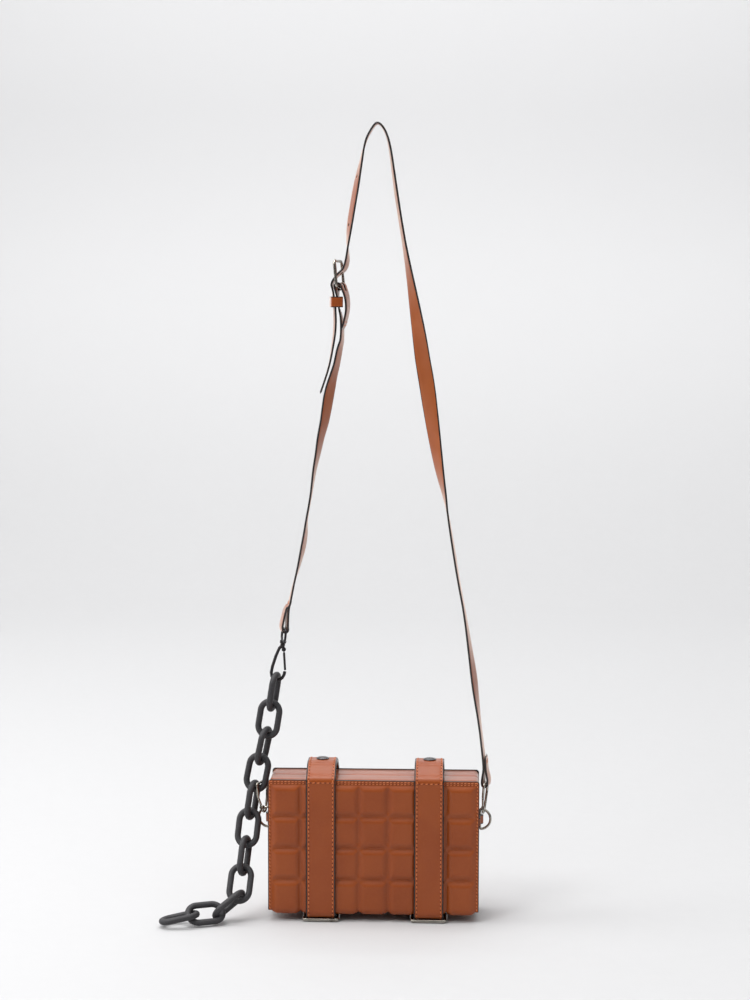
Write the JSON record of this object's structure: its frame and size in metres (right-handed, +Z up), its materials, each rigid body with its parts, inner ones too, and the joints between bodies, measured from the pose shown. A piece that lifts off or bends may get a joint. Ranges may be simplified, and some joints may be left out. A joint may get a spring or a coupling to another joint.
{
  "type": "box bag",
  "caption": "Small hard box bag in quilted leather with snapped belts, a buckled shoulder strap and a chunky chain clipped at its left side, shown hanging by the strap.",
  "frame": {"origin": "underside of the shoulder strap at its highest point, where it hangs from a hook or a shoulder", "axes": "+X to the right of the front, +Y to the back of the bag, +Z up"},
  "size_m": [0.3124, 0.0993, 0.7527],
  "materials": {
    "quilted_leather": "cognac, pressed pillows, soft sheen",
    "belt_leather": "cognac, black painted edges, stitched",
    "strap_leather": "cognac, black painted edges, stitched",
    "lining": "light tan, matt",
    "chain_plastic": "charcoal, fine grain",
    "snap_metal": "dark gunmetal plate",
    "black_metal": "black plate",
    "nickel": "polished nickel plate"
  },
  "bodies": {
    "bag": {"front_shell": "lining", "back_shell": "lining", "quilt_cover": "quilted_leather", "belt_left": "belt_leather", "belt_right": "belt_leather", "snap_left": "snap_metal", "snap_right": "snap_metal", "foot_ring_left_front": "nickel", "foot_ring_left_back": "nickel", "foot_ring_right_front": "nickel", "foot_ring_right_back": "nickel", "ring_tab_left": "belt_leather", "ring_tab_right": "belt_leather", "d_ring_left": "nickel", "d_ring_right": "nickel", "clip_left_frame": "nickel", "clip_right_frame": "nickel", "hook_frame": "black_metal", "hook_swivel": "black_metal", "strap_long": "strap_leather", "strap_short": "strap_leather", "buckle_frame": "nickel", "buckle_prong": "nickel", "keeper": "strap_leather", "link_1": "chain_plastic", "link_2": "chain_plastic", "link_3": "chain_plastic", "link_4": "chain_plastic", "link_5": "chain_plastic", "link_6": "chain_plastic", "link_7": "chain_plastic", "link_8": "chain_plastic", "link_9": "chain_plastic", "link_10": "chain_plastic", "link_11": "chain_plastic"},
    "left_clip_gate": {"clip_left_gate": "nickel"},
    "right_clip_gate": {"clip_right_gate": "nickel"},
    "swivel_hook_gate": {"hook_gate": "black_metal"}
  },
  "joints": [
    {"name": "left_clip_gate_hinge", "type": "hinge", "parent": "bag", "child": "left_clip_gate", "pos_m": [-0.1091, -0.00368, -0.64706], "axis": [-0.91, 0.4052, -0.0876], "range_deg": [0, 22], "stiffness_Nm_per_rad": 0.004, "springref_deg": -5.73},
    {"name": "right_clip_gate_hinge", "type": "hinge", "parent": "bag", "child": "right_clip_gate", "pos_m": [0.10237, -0.00394, -0.64551], "axis": [-0.9753, 0.2073, 0.0768], "range_deg": [0, 22], "stiffness_Nm_per_rad": 0.004, "springref_deg": -5.73},
    {"name": "swivel_hook_gate_hinge", "type": "hinge", "parent": "bag", "child": "swivel_hook_gate", "pos_m": [-0.0881, 0, -0.49489], "axis": [0, 1, 0], "range_deg": [0, 24], "stiffness_Nm_per_rad": 0.004, "springref_deg": -5.73}
  ]
}
